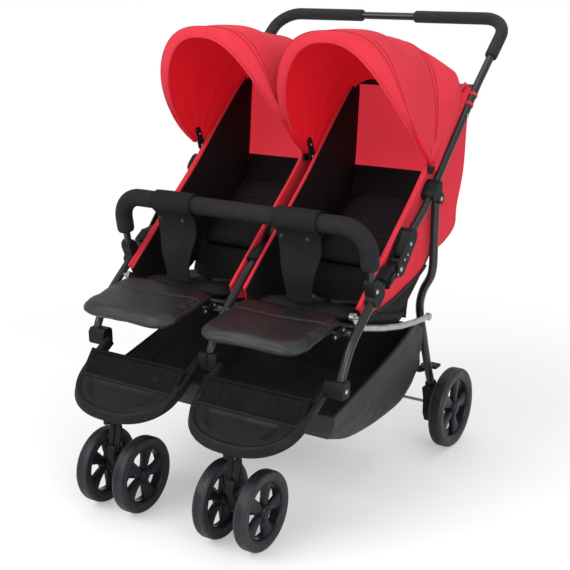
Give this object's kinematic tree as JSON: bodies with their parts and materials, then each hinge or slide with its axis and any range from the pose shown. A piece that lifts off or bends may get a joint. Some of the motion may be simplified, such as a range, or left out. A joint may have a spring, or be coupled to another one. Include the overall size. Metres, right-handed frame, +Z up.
{
  "type": "double stroller",
  "caption": "Side by side folding stroller with canopies, padded seats, a bumper bar, swivel casters, a basket and a full width handle.",
  "frame": {"origin": "on the floor, under the middle of the stroller's length and width", "axes": "+Z up, the front faces -Y, +X to the left of the child"},
  "size_m": [0.7102, 1.0599, 1.0621],
  "materials": {
    "frame_enamel": "dark satin enamel",
    "steel": "zinc plated, satin",
    "black_plastic": "moulded, fine grain",
    "foam": "closed cell foam",
    "red_fabric": "woven polyester",
    "black_fabric": "woven polyester",
    "black_leather": "coated, leather grain",
    "rim_plastic": "glossy moulded",
    "tyre": "foam rubber"
  },
  "bodies": {
    "upper_frame": {"handle_tube": "frame_enamel", "grip_left": "foam", "grip_right": "foam", "centre_upper_frame": "frame_enamel", "latch_upper_left": "black_plastic", "latch_upper_centre": "black_plastic", "latch_upper_right": "black_plastic", "leg_bracket_left": "black_plastic", "leg_bracket_right": "black_plastic", "side_panel_left": "red_fabric", "side_panel_right": "red_fabric", "canopy_rear_left": "red_fabric", "canopy_rear_right": "red_fabric", "rear_panel": "red_fabric"},
    "front_frame": {"front_leg_left": "frame_enamel", "front_leg_right": "frame_enamel", "front_centre_frame": "frame_enamel", "latch_lower_left": "black_plastic", "latch_lower_centre": "black_plastic", "latch_lower_right": "black_plastic", "footrest_left": "black_plastic", "footrest_right": "black_plastic", "bumper_socket_left": "black_plastic", "bumper_socket_right": "black_plastic"},
    "bumper_bar": {"bumper_tube": "frame_enamel", "bumper_pad": "black_fabric", "crotch_strap_left": "black_fabric", "crotch_strap_right": "black_fabric"},
    "seat": {"seat_frame": "steel", "seat_base_left": "black_fabric", "seat_base_right": "black_fabric", "basket": "black_fabric"},
    "rear_legs": {"rear_leg_left": "frame_enamel", "rear_leg_right": "frame_enamel", "rear_axle": "steel", "brake_housing_left": "black_plastic", "brake_housing_right": "black_plastic"},
    "brake": {"brake_bar": "black_plastic"},
    "back_left": {"backrest_left": "black_fabric"},
    "canopy_left": {"canopy_front_left": "red_fabric"},
    "calf_left": {"calf_rest_left": "black_leather"},
    "catch_left": {"fold_catch_left": "black_plastic"},
    "caster_left": {"caster_fork_left": "black_plastic"},
    "front_wheel_left_inner": {"front_rim_left_inner": "rim_plastic", "front_tyre_left_inner": "tyre"},
    "front_wheel_left_outer": {"front_rim_left_outer": "rim_plastic", "front_tyre_left_outer": "tyre"},
    "rear_wheel_left": {"rear_rim_left": "rim_plastic", "rear_tyre_left": "tyre"},
    "back_right": {"backrest_right": "black_fabric"},
    "canopy_right": {"canopy_front_right": "red_fabric"},
    "calf_right": {"calf_rest_right": "black_leather"},
    "catch_right": {"fold_catch_right": "black_plastic"},
    "caster_right": {"caster_fork_right": "black_plastic"},
    "front_wheel_right_inner": {"front_rim_right_inner": "rim_plastic", "front_tyre_right_inner": "tyre"},
    "front_wheel_right_outer": {"front_rim_right_outer": "rim_plastic", "front_tyre_right_outer": "tyre"},
    "rear_wheel_right": {"rear_rim_right": "rim_plastic", "rear_tyre_right": "tyre"}
  },
  "joints": [
    {"name": "fold", "type": "hinge", "parent": "upper_frame", "child": "front_frame", "pos_m": [0, -0.0775, 0.548], "axis": [1, 0, 0], "range_deg": [0, 110], "deforming": ["crotch_strap_left", "crotch_strap_right", "side_panel_left", "side_panel_right", "basket"]},
    {"name": "rear_leg_fold", "type": "hinge", "parent": "upper_frame", "child": "rear_legs", "pos_m": [0, 0.1185, 0.668], "axis": [1, 0, 0], "range_deg": [0, 65]},
    {"name": "seat_fold", "type": "hinge", "parent": "front_frame", "child": "seat", "pos_m": [0, -0.2205, 0.4715], "axis": [1, 0, 0], "range_deg": [-73.1, 0]},
    {"name": "recline_left", "type": "hinge", "parent": "upper_frame", "child": "back_left", "pos_m": [-0.1675, 0.0625, 0.492], "axis": [1, 0, 0], "range_deg": [0, 27], "deforming": ["rear_panel"]},
    {"name": "canopy_fold_left", "type": "hinge", "parent": "upper_frame", "child": "canopy_left", "pos_m": [-0.1675, 0.1075, 0.738], "axis": [1, 0, 0], "range_deg": [-35, 0]},
    {"name": "calf_tilt_left", "type": "hinge", "parent": "front_frame", "child": "calf_left", "pos_m": [-0.1675, -0.2525, 0.445], "axis": [-1, 0, 0], "range_deg": [-25, 0]},
    {"name": "recline_right", "type": "hinge", "parent": "upper_frame", "child": "back_right", "pos_m": [0.1675, 0.0625, 0.492], "axis": [1, 0, 0], "range_deg": [0, 27], "deforming": ["rear_panel"]},
    {"name": "canopy_fold_right", "type": "hinge", "parent": "upper_frame", "child": "canopy_right", "pos_m": [0.1675, 0.1075, 0.738], "axis": [1, 0, 0], "range_deg": [-35, 0]},
    {"name": "calf_tilt_right", "type": "hinge", "parent": "front_frame", "child": "calf_right", "pos_m": [0.1675, -0.2525, 0.445], "axis": [-1, 0, 0], "range_deg": [-25, 0]},
    {"name": "bumper_slide", "type": "slide", "parent": "front_frame", "child": "bumper_bar", "axis": [0, 0.1621, -0.9868], "range_m": [-0.07, 0]},
    {"name": "brake_pedal", "type": "hinge", "parent": "rear_legs", "child": "brake", "pos_m": [0, 0.2025, 0.205], "axis": [1, 0, 0], "range_deg": [-20, 0]},
    {"name": "catch_slide_left", "type": "slide", "parent": "front_frame", "child": "catch_left", "axis": [0, -0.835, -0.5503], "range_m": [0, 0.008], "stiffness_N_per_m": 400},
    {"name": "catch_slide_right", "type": "slide", "parent": "front_frame", "child": "catch_right", "axis": [0, -0.835, -0.5503], "range_m": [0, 0.008], "stiffness_N_per_m": 400},
    {"name": "caster_swivel_left", "type": "hinge", "parent": "front_frame", "child": "caster_left", "pos_m": [-0.163, -0.4655, 0.2235], "axis": [0, 0, 1], "continuous": true},
    {"name": "front_wheel_spin_left_inner", "type": "hinge", "parent": "caster_left", "child": "front_wheel_left_inner", "pos_m": [-0.1105, -0.4415, 0.089], "axis": [1, 0, 0], "continuous": true},
    {"name": "front_wheel_spin_left_outer", "type": "hinge", "parent": "caster_left", "child": "front_wheel_left_outer", "pos_m": [-0.2155, -0.4415, 0.089], "axis": [1, 0, 0], "continuous": true},
    {"name": "rear_wheel_spin_left", "type": "hinge", "parent": "rear_legs", "child": "rear_wheel_left", "pos_m": [-0.335, 0.2455, 0.102], "axis": [1, 0, 0], "continuous": true},
    {"name": "caster_swivel_right", "type": "hinge", "parent": "front_frame", "child": "caster_right", "pos_m": [0.163, -0.4655, 0.2235], "axis": [0, 0, 1], "continuous": true},
    {"name": "front_wheel_spin_right_inner", "type": "hinge", "parent": "caster_right", "child": "front_wheel_right_inner", "pos_m": [0.1105, -0.4415, 0.089], "axis": [1, 0, 0], "continuous": true},
    {"name": "front_wheel_spin_right_outer", "type": "hinge", "parent": "caster_right", "child": "front_wheel_right_outer", "pos_m": [0.2155, -0.4415, 0.089], "axis": [1, 0, 0], "continuous": true},
    {"name": "rear_wheel_spin_right", "type": "hinge", "parent": "rear_legs", "child": "rear_wheel_right", "pos_m": [0.335, 0.2455, 0.102], "axis": [1, 0, 0], "continuous": true}
  ],
  "couplings": [
    {"joint": "rear_leg_fold", "follows": "fold", "ratio": 0.588},
    {"joint": "seat_fold", "follows": "fold", "ratio": -0.664}
  ]
}
